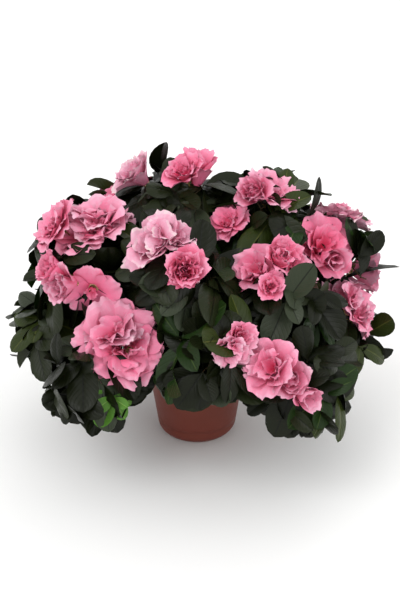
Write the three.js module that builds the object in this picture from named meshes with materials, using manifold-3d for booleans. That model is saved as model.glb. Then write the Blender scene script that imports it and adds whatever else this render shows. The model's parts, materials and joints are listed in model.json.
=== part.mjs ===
// A bushy evergreen azalea in a round plastic nursery pot.
// Millimetres, +Z up. The origin is the centre of the pot's flat underside, +X runs to the plant's
// right and -Y to its front. The pot holds a root ball, the root ball holds a short flared trunk,
// and a bough runs from the trunk to each mass of foliage and ends where it enters it.
import * as THREE from "three";
import { mergeVertices } from "three/addons/utils/BufferGeometryUtils.js";
import Module from "manifold-3d";

const wasm = await Module();
wasm.setup();

// ---- driving dimensions -----------------------------------------------------------------------

const GAP = 0.4; // between pieces that touch
const POT_HEIGHT = 106;
const POT_RIM_RADIUS = 62;
const POT_BASE_RADIUS = 46;
const POT_WALL = 1.6;
const POT_FLOOR = 2.4;
const POT_FOOT_ROUND = 14; // radius of the rounded edge round the underside
const LIP_HEIGHT = 13;
const LIP_DEPTH = 2.8; // how far the lip stands out from the wall below it
const DRAIN_HOLES = 6;
const DRAIN_RADIUS = 4;
const DRAIN_RING = 22;
const SOIL_TOP = 95;
const SOIL_DOME = 3; // how much higher the root ball is at its middle
const POT_SEGMENTS = 36;
const FOOT_STEPS = 5; // facets round the edge of the underside

const TRUNK_BASE = SOIL_TOP + SOIL_DOME + GAP;
const TRUNK_TOP = 156;
const TRUNK_RADIUS = 8.5;
const TRUNK_TIP_RADIUS = 7;
const FLARE = 5; // what the root flare adds to the radius at the ground
const FLARE_HEIGHT = 7;
const TRUNK_LEAN = new THREE.Vector2(3, -2); // how far the top stands from over the foot
const TRUNK_SIDES = 14;
const TRUNK_STEPS = 9;

const BOUGH_START_RADIUS = 3.4;
const FORK_START_RADIUS = 2.9; // the boughs that stand side by side on the trunk's flat top
const FORK_OUT = 4.4; // how far each of those stands from the middle of the trunk's top
const BOUGH_END_RADIUS = 2;
const BOUGH_SIDES = 7;
const BOUGH_STEPS = 5;
const BOUGH_RISE = 26; // how far over its foot a side bough aims before it bends to its mass
const FORK_RISE = 12;
const BOUGH_BEND = 0.4; // how far back from its tip a bough bends, as a share of its length
const ENTRY = 0.8; // how far out from a mass's middle its bough ends, as a share of its reach

const CROWN_HEIGHT = 342; // top of the highest mass
const CROWN_HALF_WIDTH = 212; // out to the furthest side tips
const CROWN_HALF_DEPTH = 190;
const MASS_DETAIL = 3; // subdivision of each mass's starting icosahedron
const SPRAYS_PER_MASS = 11; // swellings where leafy shoots crowd the surface
const SPRAY_OUTWARDS = 0.35; // how strongly the swellings turn to the light, in plan
const SPRAY_UPWARDS = 0.15;
const SPRAY_SWELL = 0.24; // height of a swelling, as a share of the mass's radius
const SPRAY_SHARPNESS = 10;
const SPRAY_BALANCE = 0.5; // share of the swelling taken off all round, so that the size holds
const RIM_CLEARANCE = 4; // between the rim and the masses that hang beside it

// ---- materials ---------------------------------------------------------------------------------

const plastic = new THREE.MeshStandardMaterial({ color: 0x6a3327, roughness: 0.55, metalness: 0 });
const peat = new THREE.MeshStandardMaterial({ color: 0x2a1c12, roughness: 1, metalness: 0 });
const bark = new THREE.MeshStandardMaterial({ color: 0x5b4636, roughness: 0.9, metalness: 0 });
const leaves = new THREE.MeshStandardMaterial({ color: 0x26382a, roughness: 0.6, metalness: 0 });

// ---- solids --------------------------------------------------------------------------------------

// A closed three.js geometry as a manifold-3d solid, for cutting.
function solidOf(geometry) {
  const bare = geometry.clone();
  bare.deleteAttribute("normal");
  bare.deleteAttribute("uv");
  const merged = mergeVertices(bare, 1e-3);
  return new wasm.Manifold(
    new wasm.Mesh({
      numProp: 3,
      vertProperties: merged.attributes.position.array,
      triVerts: new Uint32Array(merged.index.array),
    }),
  );
}

function geometryOf(solid) {
  const mesh = solid.getMesh();
  return new THREE.BufferGeometry()
    .setAttribute("position", new THREE.BufferAttribute(mesh.vertProperties, 3))
    .setIndex(new THREE.BufferAttribute(mesh.triVerts, 1));
}

// Turns a profile of [radius, height] points, which runs outwards along the underside first, into
// a solid that stands on its axis along +Z.
function turned(profile) {
  const points = profile.map(([radius, height]) => new THREE.Vector2(radius, height));
  return new THREE.LatheGeometry(points, POT_SEGMENTS).rotateX(Math.PI / 2);
}

// A closed round limb along a curve, its radius given by radiusAt(share of the way along).
function limb(curve, radiusAt, sides, steps) {
  const geometry = new THREE.CylinderGeometry(1, 1, 1, sides, steps);
  const frames = curve.computeFrenetFrames(steps, false);
  const position = geometry.attributes.position;
  const local = new THREE.Vector3();
  for (let i = 0; i < position.count; i++) {
    local.fromBufferAttribute(position, i);
    const along = 0.5 - local.y;
    const ring = Math.round(along * steps);
    const radius = radiusAt(along);
    const placed = curve
      .getPointAt(along)
      .addScaledVector(frames.normals[ring], local.x * radius)
      .addScaledVector(frames.binormals[ring], local.z * radius);
    position.setXYZ(i, placed.x, placed.y, placed.z);
  }
  return geometry;
}

function named(name, geometry, material) {
  const mesh = new THREE.Mesh(geometry, material);
  mesh.name = name;
  return mesh;
}

// ---- pot and root ball ---------------------------------------------------------------------------

// The outer radius of the pot's tapering wall at a height, lip left out.
function wallRadius(height) {
  const lipRadius = POT_RIM_RADIUS - LIP_DEPTH;
  return THREE.MathUtils.lerp(POT_BASE_RADIUS, lipRadius, height / POT_HEIGHT);
}

function pot() {
  const foot = [];
  for (let step = 0; step <= FOOT_STEPS; step++) {
    const angle = (step / FOOT_STEPS) * (Math.PI / 2);
    foot.push([
      wallRadius(0) - POT_FOOT_ROUND * (1 - Math.sin(angle)),
      POT_FOOT_ROUND * (1 - Math.cos(angle)),
    ]);
  }
  const underLip = POT_HEIGHT - LIP_HEIGHT;
  const inside = (height) => wallRadius(height) - POT_WALL;
  const insideFoot = POT_FOOT_ROUND + POT_FLOOR;
  const shell = solidOf(
    turned([
      [0, 0],
      ...foot,
      [wallRadius(underLip), underLip],
      [wallRadius(underLip) + LIP_DEPTH, underLip + LIP_DEPTH],
      [POT_RIM_RADIUS, POT_HEIGHT - 1],
      [POT_RIM_RADIUS - 1, POT_HEIGHT],
      [inside(POT_HEIGHT), POT_HEIGHT],
      [inside(insideFoot), insideFoot],
      [inside(POT_FLOOR) - POT_FOOT_ROUND, POT_FLOOR],
      [0, POT_FLOOR],
    ]),
  );
  const drill = solidOf(
    new THREE.CylinderGeometry(DRAIN_RADIUS, DRAIN_RADIUS, 4 * POT_FLOOR, 12).rotateX(Math.PI / 2),
  );
  let drained = shell;
  for (let hole = 0; hole < DRAIN_HOLES; hole++) {
    const angle = (hole / DRAIN_HOLES) * 2 * Math.PI;
    const at = [DRAIN_RING * Math.cos(angle), DRAIN_RING * Math.sin(angle), 0];
    drained = drained.subtract(drill.translate(at));
  }
  return named("pot", geometryOf(drained), plastic);
}

function rootBall() {
  const fit = (height) => wallRadius(height) - POT_WALL - GAP;
  const low = POT_FLOOR + GAP;
  const insideFoot = POT_FOOT_ROUND + POT_FLOOR + GAP;
  const geometry = turned([
    [0, low],
    [fit(low) - POT_FOOT_ROUND - 2 * GAP, low],
    [fit(insideFoot) - GAP, insideFoot],
    [fit(SOIL_TOP - 2) - GAP, SOIL_TOP - 2],
    [fit(SOIL_TOP) - 3, SOIL_TOP],
    [0.6 * fit(SOIL_TOP), SOIL_TOP + 0.6 * SOIL_DOME],
    [0.3 * fit(SOIL_TOP), SOIL_TOP + SOIL_DOME],
    [0, SOIL_TOP + SOIL_DOME],
  ]);
  return named("root_ball", geometry, peat);
}

// ---- trunk ------------------------------------------------------------------------------------------

const trunkLine = new THREE.QuadraticBezierCurve3(
  new THREE.Vector3(0, 0, TRUNK_BASE),
  new THREE.Vector3(0, 0, (TRUNK_BASE + TRUNK_TOP) / 2),
  new THREE.Vector3(TRUNK_LEAN.x, TRUNK_LEAN.y, TRUNK_TOP),
);

function trunkRadius(along) {
  const height = along * (TRUNK_TOP - TRUNK_BASE);
  const taper = THREE.MathUtils.lerp(TRUNK_RADIUS, TRUNK_TIP_RADIUS, along);
  return taper + FLARE * Math.exp(-height / FLARE_HEIGHT);
}

// The trunk, grown by a margin where it is only used to cut a bough round it.
function trunkGeometry(margin) {
  return limb(trunkLine, (along) => trunkRadius(along) + margin, TRUNK_SIDES, TRUNK_STEPS);
}

// ---- masses of foliage --------------------------------------------------------------------------------

// Each mass: the bearing of its middle round the plant in degrees (0 is the front and 90 the right),
// how far out and how high its middle is as shares of the crown's half width and height, and its
// half sizes across, outwards and up in millimetres. "leaves" is where its bough leaves the trunk,
// as a share of the way up, or null where the bough is the trunk's own fork.
const MASSES = {
  top: { bearing: 205, out: 0.18, up: 0.78, half: [72, 70, 62], leaves: null },
  top_right: { bearing: 100, out: 0.36, up: 0.77, half: [70, 66, 60], leaves: null },
  top_left: { bearing: 283, out: 0.54, up: 0.69, half: [76, 74, 64], leaves: 0.84 },
  top_front: { bearing: 346, out: 0.42, up: 0.69, half: [72, 60, 58], leaves: 0.88 },
  right: { bearing: 94, out: 0.7, up: 0.61, half: [74, 62, 60], leaves: 0.78 },
  front: { bearing: 4, out: 0.64, up: 0.5, half: [74, 64, 56], leaves: 0.7 },
  front_right: { bearing: 50, out: 0.56, up: 0.6, half: [68, 64, 62], leaves: 0.54 },
  back_left: { bearing: 216, out: 0.6, up: 0.6, half: [80, 64, 64], leaves: 0.72 },
  back_right: { bearing: 146, out: 0.6, up: 0.6, half: [80, 64, 64], leaves: 0.62 },
  low_front_left: { bearing: 318, out: 0.78, up: 0.38, half: [70, 58, 68], leaves: 0.36 },
  low_front_right: { bearing: 40, out: 0.8, up: 0.36, half: [70, 60, 68], leaves: 0.3 },
  low_left: { bearing: 276, out: 0.74, up: 0.38, half: [72, 58, 58], leaves: 0.52 },
  low_right: { bearing: 86, out: 0.76, up: 0.38, half: [72, 60, 58], leaves: 0.38 },
  low_back_left: { bearing: 232, out: 0.76, up: 0.36, half: [70, 60, 60], leaves: 0.34 },
  low_back: { bearing: 182, out: 0.74, up: 0.37, half: [70, 56, 60], leaves: 0.46 },
  low_back_right: { bearing: 134, out: 0.76, up: 0.36, half: [70, 60, 60], leaves: 0.28 },
};

// Repeatable numbers from 0 to 1: a multiplicative congruential generator.
function seeded(seed) {
  let state = seed * 7919 + 17;
  return () => {
    state = (state * 16807) % 2147483647;
    return state / 2147483647;
  };
}

// A mass with its middle, its three axes and the swellings on it.
function shaped([name, size], index) {
  const angle = THREE.MathUtils.degToRad(size.bearing);
  const outwards = new THREE.Vector3(Math.sin(angle), -Math.cos(angle), 0);
  const middle = new THREE.Vector3(
    outwards.x * size.out * CROWN_HALF_WIDTH,
    outwards.y * size.out * CROWN_HALF_DEPTH,
    size.up * CROWN_HEIGHT,
  );
  const next = seeded(index + 1);
  const sprays = [];
  for (let spray = 0; spray < SPRAYS_PER_MASS; spray++) {
    const anyWay = new THREE.Vector3(next() - 0.5, next() - 0.5, next() - 0.5);
    sprays.push(anyWay.addScaledVector(outwards, SPRAY_OUTWARDS).setZ(anyWay.z + SPRAY_UPWARDS));
  }
  sprays.forEach((spray) => spray.normalize());
  const across = new THREE.Vector3(-outwards.y, outwards.x, 0);
  return { name, middle, outwards, across, half: size.half, sprays, leaves: size.leaves, cuts: [] };
}

// How far a mass reaches from its middle in a direction, before its neighbours crowd it.
function reach(mass, direction) {
  const [across, out, up] = mass.half;
  const plain =
    1 /
    Math.hypot(
      direction.dot(mass.across) / across,
      direction.dot(mass.outwards) / out,
      direction.z / up,
    );
  const swelling = mass.sprays.reduce(
    (sum, spray) => sum + Math.max(0, direction.dot(spray)) ** SPRAY_SHARPNESS,
    0,
  );
  return plain * (1 + SPRAY_SWELL * (Math.min(1, swelling) - SPRAY_BALANCE));
}

// Keeps a mass on its own side of a plane, which stands at a distance from its middle.
function cut(mass, normal, distance) {
  mass.cuts.push({ normal: normal.clone(), distance });
}

// Two masses that meet press on each other along a plane, shared out by their sizes.
function crowd(one, other) {
  const apart = other.middle.clone().sub(one.middle);
  const distance = apart.length();
  const towards = apart.normalize();
  const away = towards.clone().negate();
  const share = reach(one, towards) / (reach(one, towards) + reach(other, away));
  cut(one, towards, distance * share - GAP / 2);
  cut(other, away, distance * (1 - share) - GAP / 2);
}

// A mass that hangs beside the pot stays clear of the rim.
function keepOffPot(mass) {
  const outTo = Math.hypot(mass.middle.x, mass.middle.y);
  cut(mass, mass.outwards.clone().negate(), outTo - POT_RIM_RADIUS - RIM_CLEARANCE);
}

// The mass's mesh: an icosahedron's points, each moved out to the mass's surface or nearest cut.
function massGeometry(mass) {
  const geometry = new THREE.IcosahedronGeometry(1, MASS_DETAIL);
  const position = geometry.attributes.position;
  const direction = new THREE.Vector3();
  for (let i = 0; i < position.count; i++) {
    direction.fromBufferAttribute(position, i).normalize();
    let radius = reach(mass, direction);
    for (const { normal, distance } of mass.cuts) {
      const facing = direction.dot(normal);
      if (facing > 0) radius = Math.min(radius, distance / facing);
    }
    direction.multiplyScalar(radius).add(mass.middle);
    position.setXYZ(i, direction.x, direction.y, direction.z);
  }
  return geometry;
}

// ---- boughs -----------------------------------------------------------------------------------------------

// The bough of a mass arches from the trunk's middle line to a flat place on the mass's inner side,
// and is then cut round the trunk.
function bough(mass, trunkCut) {
  const forked = mass.leaves === null;
  const start = trunkLine.getPointAt(forked ? 1 : mass.leaves);
  if (forked) start.addScaledVector(mass.outwards, FORK_OUT).setZ(TRUNK_TOP + GAP);
  const rise = forked ? FORK_RISE : BOUGH_RISE;
  const inwards = start.clone().setZ(start.z + rise).sub(mass.middle).normalize();
  const entry = ENTRY * reach(mass, inwards);
  cut(mass, inwards, entry);
  const end = mass.middle.clone().addScaledVector(inwards, entry + GAP);
  const bend = end.clone().addScaledVector(inwards, BOUGH_BEND * end.distanceTo(start));
  const line = new THREE.QuadraticBezierCurve3(start, bend, end);
  const startRadius = forked ? FORK_START_RADIUS : BOUGH_START_RADIUS;
  const radiusAt = (along) => THREE.MathUtils.lerp(startRadius, BOUGH_END_RADIUS, along);
  const arch = solidOf(limb(line, radiusAt, BOUGH_SIDES, BOUGH_STEPS));
  return named("bough_" + mass.name, geometryOf(arch.subtract(trunkCut)), bark);
}

// ---- the plant ------------------------------------------------------------------------------------------------

const plant = new THREE.Group();
plant.add(pot(), rootBall(), named("trunk", trunkGeometry(0), bark));

const masses = Object.entries(MASSES).map(shaped);
masses.forEach((mass, index) => masses.slice(index + 1).forEach((other) => crowd(mass, other)));
masses.filter((mass) => mass.name.startsWith("low")).forEach(keepOffPot);

const trunkCut = solidOf(trunkGeometry(GAP));
for (const mass of masses) plant.add(bough(mass, trunkCut));
for (const mass of masses) plant.add(named("foliage_" + mass.name, massGeometry(mass), leaves));

export default plant;
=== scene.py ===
import json
from math import cos, hypot, pi, radians, sin, sqrt, tau

import bmesh
import bpy
import numpy as np
from mathutils import Matrix, Vector
from mathutils.bvhtree import BVHTree

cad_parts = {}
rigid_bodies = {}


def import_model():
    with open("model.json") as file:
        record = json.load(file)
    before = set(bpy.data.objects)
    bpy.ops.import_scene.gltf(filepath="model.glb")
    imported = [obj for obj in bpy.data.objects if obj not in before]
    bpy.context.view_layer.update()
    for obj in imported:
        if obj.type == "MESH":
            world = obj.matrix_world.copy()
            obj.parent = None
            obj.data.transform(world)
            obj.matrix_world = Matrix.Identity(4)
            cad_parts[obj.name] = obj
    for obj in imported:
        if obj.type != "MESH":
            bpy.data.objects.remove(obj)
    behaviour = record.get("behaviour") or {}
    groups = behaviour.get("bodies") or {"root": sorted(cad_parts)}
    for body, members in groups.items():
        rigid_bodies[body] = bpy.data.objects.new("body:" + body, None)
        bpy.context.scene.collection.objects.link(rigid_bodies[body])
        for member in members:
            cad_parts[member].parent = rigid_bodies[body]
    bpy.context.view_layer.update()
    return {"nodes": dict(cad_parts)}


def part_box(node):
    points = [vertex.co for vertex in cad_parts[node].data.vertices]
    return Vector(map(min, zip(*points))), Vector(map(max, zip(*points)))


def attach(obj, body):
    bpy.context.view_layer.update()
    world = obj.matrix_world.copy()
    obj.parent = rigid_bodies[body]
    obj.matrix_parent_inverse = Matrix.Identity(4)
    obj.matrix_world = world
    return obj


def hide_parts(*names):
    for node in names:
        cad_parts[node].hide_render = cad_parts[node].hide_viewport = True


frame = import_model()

MM = 0.001

# ---- The studio ----------------------------------------------------------------------------------
# The plant stands on a seamless pale floor under soft light: a broad lamp high to the left of the
# camera, weaker ones to the right and behind, and pale light from all round.

CAMERA_TILT = radians(27)  # how far the camera looks down
CAMERA_DISTANCE = 1.5
CAMERA_SPAN = 0.714  # what the height of the frame covers at the pot
POT_BELOW_MIDDLE = 0.149  # the pot's foot stands this far under the middle of the frame
POT_LEFT_OF_MIDDLE = 0.0036
SENSOR = 36
LAMP_SPREAD = radians(34)
LAMP_AIM = 0.17  # the height at the middle of the crown
HORIZON_LIGHT = 1
OVERHEAD_LIGHT = 1.05

up_in_frame = Vector((0, sin(CAMERA_TILT), cos(CAMERA_TILT)))
look = Vector((0, cos(CAMERA_TILT), -sin(CAMERA_TILT)))
aim = up_in_frame * POT_BELOW_MIDDLE + Vector((POT_LEFT_OF_MIDDLE, 0, 0))
lens = bpy.data.cameras.new("camera")
lens.sensor_width = SENSOR
lens.lens = SENSOR * CAMERA_DISTANCE / CAMERA_SPAN
camera = bpy.data.objects.new("camera", lens)
camera.location = aim - look * CAMERA_DISTANCE
camera.rotation_euler = look.to_track_quat("-Z", "Y").to_euler()
bpy.context.collection.objects.link(camera)
bpy.context.scene.camera = camera
bpy.context.scene.view_settings.view_transform = "Standard"


def lamp(name, strength, place):
    """A far, broad and so soft lamp that shines from a place towards the plant."""
    light = bpy.data.lights.new(name, "SUN")
    light.angle = LAMP_SPREAD
    light.energy = strength
    made = bpy.data.objects.new(name, light)
    made.location = place
    towards = Vector((0, 0, LAMP_AIM)) - Vector(place)
    made.rotation_euler = towards.to_track_quat("-Z", "Y").to_euler()
    bpy.context.collection.objects.link(made)


lamp("key_lamp", 0.85, (-0.75, -0.75, 1.35))
lamp("fill_lamp", 0.55, (1.1, -0.9, 0.9))
lamp("back_lamp", 0.4, (0.3, 1.2, 1.3))

world = bpy.data.worlds.new("pale_surround")
world.use_nodes = True
bpy.context.scene.world = world


def paint(red, green, blue):
    """A colour given as it looks on a screen, from 0 to 255, in the linear numbers of a shader."""
    shares = [channel / 255 for channel in (red, green, blue)]
    return (*[share / 12.92 if share < 0.04 else ((share + 0.055) / 1.055) ** 2.4 for share in shares], 1)


class Value:
    """A number in a node tree, which adds, subtracts, multiplies and divides as numbers do."""

    def __init__(self, graph, socket):
        self.graph = graph
        self.socket = socket

    def maths(self, operation, *values):
        made = self.graph.node("ShaderNodeMath", {"operation": operation}, dict(enumerate(values)))
        return Value(self.graph, made.outputs[0])

    def __add__(self, other):
        return self.maths("ADD", self, other)

    def __sub__(self, other):
        return self.maths("SUBTRACT", self, other)

    def __rsub__(self, other):
        return self.maths("SUBTRACT", other, self)

    def __mul__(self, other):
        return self.maths("MULTIPLY", self, other)

    def __abs__(self):
        return self.maths("ABSOLUTE", self)

    def fraction(self):
        """What is left of the number above the whole number under it."""
        return self.maths("FRACT", self)

    __radd__ = __add__
    __rmul__ = __mul__


class Graph:
    """A node tree that is built one node at a time."""

    def __init__(self, tree):
        self.tree = tree

    def node(self, kind, settings=None, sockets=None):
        """A node of a kind, with its settings and then the values or links of its sockets."""
        made = self.tree.nodes.new(kind)
        for name, setting in (settings or {}).items():
            setattr(made, name, setting)
        for name, value in (sockets or {}).items():
            self.feed(made.inputs[name], value)
        return made

    def feed(self, socket, value):
        value = getattr(value, "socket", value)
        if isinstance(value, bpy.types.NodeSocket):
            self.tree.links.new(value, socket)
        else:
            socket.default_value = value

    def value(self, kind, output, settings=None, sockets=None):
        """One output of a new node, as a Value."""
        return Value(self, self.node(kind, settings, sockets).outputs[output])


class Finish(Graph):
    """A material with a Principled shader, whose colour and gloss are set on the shader itself."""

    def __init__(self, name, colour, roughness, **sockets):
        self.material = bpy.data.materials.new(name)
        self.material.use_nodes = True
        super().__init__(self.material.node_tree)
        self.shader = self.tree.nodes["Principled BSDF"]
        self.feed(self.shader.inputs["Base Color"], colour)
        self.feed(self.shader.inputs["Roughness"], roughness)
        for socket, value in sockets.items():
            self.feed(self.shader.inputs[socket.replace("_", " ")], value)

    def noise(self, scale, detail=2.0):
        """Noise from 0 to 1 whose blobs are about 1 / scale metres across."""
        place = self.node("ShaderNodeTexCoord").outputs["Object"]
        return self.value("ShaderNodeTexNoise", 0, None, {"Vector": place, "Scale": scale, "Detail": detail})

    def vary_colour(self, mask, other):
        """Mixes the base colour with another one by a mask."""
        base = tuple(self.shader.inputs["Base Color"].default_value)
        mix = self.node("ShaderNodeMix", {"data_type": "RGBA"}, {0: mask, 6: base, 7: other})
        self.feed(self.shader.inputs["Base Color"], mix.outputs[2])

    def vary_roughness(self, mask, least, most):
        self.feed(self.shader.inputs["Roughness"], mask * (most - least) + least)

    def relief(self, height, depth):
        """A bump that stands a depth in metres high."""
        bump = self.node("ShaderNodeBump", None, {"Height": height, "Distance": depth, "Strength": 1.0})
        self.feed(self.shader.inputs["Normal"], bump.outputs[0])


surround = Graph(world.node_tree)
sky_place = surround.node("ShaderNodeTexCoord").outputs["Generated"]
rise = surround.value("ShaderNodeSeparateXYZ", "Z", None, {0: sky_place})
above = rise.maths("MAXIMUM", rise, 0)
background = world.node_tree.nodes["Background"].inputs
surround.feed(background["Strength"], above * (OVERHEAD_LIGHT - HORIZON_LIGHT) + HORIZON_LIGHT)
surround.feed(background["Color"], (1, 1, 1, 1))

floor_finish = Finish("pale_floor", paint(243, 243, 242), 0.9)
floor_finish.vary_roughness(floor_finish.noise(3), 0.85, 0.95)
bpy.ops.mesh.primitive_plane_add(size=400)
floor = bpy.context.object
floor.name = "floor"
floor.data.materials.append(floor_finish.material)

# ---- The pot -------------------------------------------------------------------------------------
# A thin-walled pot, injection moulded in brick-brown polypropylene: a flat foot with a broad
# rounded edge and drain holes, a tapering wall with a fine satin grain, and a lip round the top.

_, pot_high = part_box("pot")
POT_HEIGHT = pot_high.z
RIM_RADIUS = pot_high.x
BASE_RADIUS = 46 * MM
FOOT_ROUND = 14 * MM
WALL = 1.6 * MM
POT_FLOOR = 2.4 * MM
LIP_HEIGHT = 13 * MM
LIP_DEPTH = 2.8 * MM
LIP_ROUND = 0.8 * MM
RIM_ROUND = 1.1 * MM
DRAIN_HOLES = 6
DRAIN_RADIUS = 4 * MM
DRAIN_RING = 22 * MM
DRILL_LENGTH = 10 * MM
ROUND_STEPS = 96


def wall_radius(height):
    """The outer radius of the tapering wall, lip left out."""
    return BASE_RADIUS + (RIM_RADIUS - LIP_DEPTH - BASE_RADIUS) * height / POT_HEIGHT


def arc(middle, radius, start, end, steps):
    """Points on an arc in the plane of radius and height, between two angles in degrees."""
    angles = [radians(start + (end - start) * step / steps) for step in range(steps + 1)]
    return [(middle[0] + radius * cos(a), middle[1] + radius * sin(a)) for a in angles]


def turned(name, profile):
    """A mesh made by turning a profile of (radius, height) points, outside first, round the axis."""
    corners, rings = [], []
    for radius, height in profile:
        count = ROUND_STEPS if radius else 1  # a point on the axis closes the shape
        rings.append([len(corners) + step % count for step in range(ROUND_STEPS + 1)])
        turns = [tau * step / ROUND_STEPS for step in range(count)]
        corners += [(radius * cos(turn), radius * sin(turn), height) for turn in turns]
    faces = []
    for low, high in zip(rings, rings[1:]):
        for step in range(ROUND_STEPS):
            face = (low[step], low[step + 1], high[step + 1], high[step])
            faces.append(tuple(dict.fromkeys(face)))
    mesh = bpy.data.meshes.new(name)
    mesh.from_pydata(corners, [], faces)
    mesh.shade_smooth()
    return mesh


def piece(name, mesh, *materials):
    """An object at the origin that shows a mesh."""
    made = bpy.data.objects.new(name, mesh)
    bpy.context.collection.objects.link(made)
    for material in materials:
        mesh.materials.append(material)
    return made


def baked(thing):
    """The mesh of an object with its modifiers worked in, which then takes the object's place."""
    state = bpy.context.evaluated_depsgraph_get()
    mesh = bpy.data.meshes.new_from_object(
        thing.evaluated_get(state), preserve_all_data_layers=True, depsgraph=state
    )
    mesh.name = thing.name
    thing.modifiers.clear()
    thing.data = mesh
    slots = np.empty(len(mesh.polygons), np.int32)
    mesh.polygons.foreach_get("material_index", slots)
    used, slots = np.unique(slots, return_inverse=True)
    shown = [mesh.materials[index] for index in used if index < len(mesh.materials)]
    mesh.materials.clear()
    for material in shown:
        mesh.materials.append(material)
    mesh.polygons.foreach_set("material_index", slots.astype(np.int32).ravel())
    return thing


under_lip = POT_HEIGHT - LIP_HEIGHT
inner_foot = FOOT_ROUND + POT_FLOOR
foot_edge = arc((wall_radius(0) - FOOT_ROUND, FOOT_ROUND), FOOT_ROUND, -90, 0, 10)
lip_middle = (wall_radius(under_lip) + LIP_DEPTH - LIP_ROUND, under_lip + 1.5 * LIP_ROUND)
lip_under = arc(lip_middle, LIP_ROUND, -60, 0, 3)
rim_round = arc((RIM_RADIUS - RIM_ROUND, POT_HEIGHT - RIM_ROUND), RIM_ROUND, 0, 110, 5)
pot_profile = [(0, 0), *foot_edge, (wall_radius(under_lip), under_lip), *lip_under, *rim_round]
pot_profile += [
    (wall_radius(POT_HEIGHT) - WALL, POT_HEIGHT - 0.001),
    (wall_radius(inner_foot) - WALL, inner_foot),
    (wall_radius(POT_FLOOR) - WALL - FOOT_ROUND, POT_FLOOR),
    (0, POT_FLOOR),
]
pot = piece("pot_moulded", turned("pot_moulded", pot_profile))

drill = bmesh.new()
for hole in range(DRAIN_HOLES):
    turn = tau * hole / DRAIN_HOLES
    place = Matrix.Translation((DRAIN_RING * cos(turn), DRAIN_RING * sin(turn), 0))
    round_hole = {"radius1": DRAIN_RADIUS, "radius2": DRAIN_RADIUS, "depth": DRILL_LENGTH, "matrix": place}
    bmesh.ops.create_cone(drill, cap_ends=True, segments=24, **round_hole)
drill_mesh = bpy.data.meshes.new("drill")
drill.to_mesh(drill_mesh)
drill.free()
drills = piece("drill", drill_mesh)
drilling = pot.modifiers.new("drain holes", "BOOLEAN")
drilling.object = drills
drilling.solver = "EXACT"
baked(pot)
bpy.data.objects.remove(drills)

pot_finish = Finish("brick_brown_plastic", paint(112, 51, 38), 0.5, Specular_IOR_Level=0.3)
pot_finish.vary_colour(pot_finish.noise(45, 4) * 0.5, paint(96, 44, 34))
pot_finish.vary_roughness(pot_finish.noise(120, 3), 0.42, 0.6)
pot_finish.relief(pot_finish.noise(2600, 2), 0.00006)
pot.data.materials.clear()
pot.data.materials.append(pot_finish.material)
pot.data.shade_smooth()
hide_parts("pot")
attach(pot, "root")

# ---- The root ball -------------------------------------------------------------------------------
# Dark fibrous peat that the roots hold together in the shape of the pot. Its face is a low rough
# mound, strewn with loose crumbs of peat.

CRUMB_SIZE = 1.7 * MM
CRUMBS_PER_SQUARE_METRE = 60000
PEAT_ROUGHNESS = 2.2 * MM
MOUND_STEPS = 24
MOUND_RISE = 4 * MM
SOIL_EDGE = 9 * MM  # where the wall of peat ends, under the top of the mound
soil_low, soil_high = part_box("root_ball")


def tree_with(name, **inputs):
    """A Geometry Nodes tree that takes a geometry and named inputs, with its input and output nodes."""
    graph = Graph(bpy.data.node_groups.new(name, "GeometryNodeTree"))
    face = graph.tree.interface
    face.new_socket("Geometry", in_out="INPUT", socket_type="NodeSocketGeometry")
    face.new_socket("Geometry", in_out="OUTPUT", socket_type="NodeSocketGeometry")
    for label, kind in inputs.items():
        face.new_socket(label, in_out="INPUT", socket_type="NodeSocket" + kind)
    return graph, graph.node("NodeGroupInput").outputs, graph.node("NodeGroupOutput").inputs[0]


def grown(thing, graph, **values):
    """Runs a Geometry Nodes tree on an object and leaves the result as its plain mesh."""
    modifier = thing.modifiers.new("grow", "NODES")
    modifier.node_group = graph.tree
    for socket in graph.tree.interface.items_tree:
        if socket.name in values:
            modifier[socket.identifier] = values[socket.name]
    return baked(thing)


crumb_inputs = {"Size": "Float", "Density": "Float", "Rough": "Float", "Seed": "Int", "Peat": "Material"}
strewn, given, result = tree_with("strewn crumbs", **crumb_inputs)
lumps = strewn.value("ShaderNodeTexNoise", "Fac", None, {"Scale": 140.0, "Detail": 4.0})
lift_height = (lumps - 0.5) * Value(strewn, given["Rough"])
lift = strewn.node("ShaderNodeCombineXYZ", None, {"Z": lift_height}).outputs[0]
mound = strewn.node("GeometryNodeSetPosition", None, {"Geometry": given["Geometry"], "Offset": lift})
facing = strewn.node("ShaderNodeSeparateXYZ", None, {0: strewn.node("GeometryNodeInputNormal").outputs[0]})
top = strewn.value("FunctionNodeCompare", 0, {"operation": "GREATER_THAN"}, {0: facing.outputs["Z"], 1: 0.6})
dots = strewn.node(
    "GeometryNodeDistributePointsOnFaces",
    None,
    {"Mesh": mound.outputs[0], "Selection": top, "Density": given["Density"], "Seed": given["Seed"]},
)
crumb = strewn.node("GeometryNodeMeshIcoSphere", None, {"Radius": given["Size"], "Subdivisions": 1})
crumb_sizes = {"Min": (0.3, 0.3, 0.2), "Max": (1.5, 1.2, 0.8), "Seed": 3}
sizes = strewn.node("FunctionNodeRandomValue", {"data_type": "FLOAT_VECTOR"}, crumb_sizes)
crumb_turns = {"Min": (0, 0, 0), "Max": (tau, tau, tau), "Seed": 4}
turns = strewn.node("FunctionNodeRandomValue", {"data_type": "FLOAT_VECTOR"}, crumb_turns)
crumbs = strewn.node(
    "GeometryNodeInstanceOnPoints",
    None,
    {
        "Points": dots.outputs[0],
        "Instance": crumb.outputs[0],
        "Rotation": turns.outputs[0],
        "Scale": sizes.outputs[0],
    },
)
both = strewn.node("GeometryNodeJoinGeometry")
strewn.feed(both.inputs[0], crumbs.outputs[0])
strewn.feed(both.inputs[0], mound.outputs[0])
real = strewn.node("GeometryNodeRealizeInstances", None, {"Geometry": both.outputs[0]})
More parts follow.
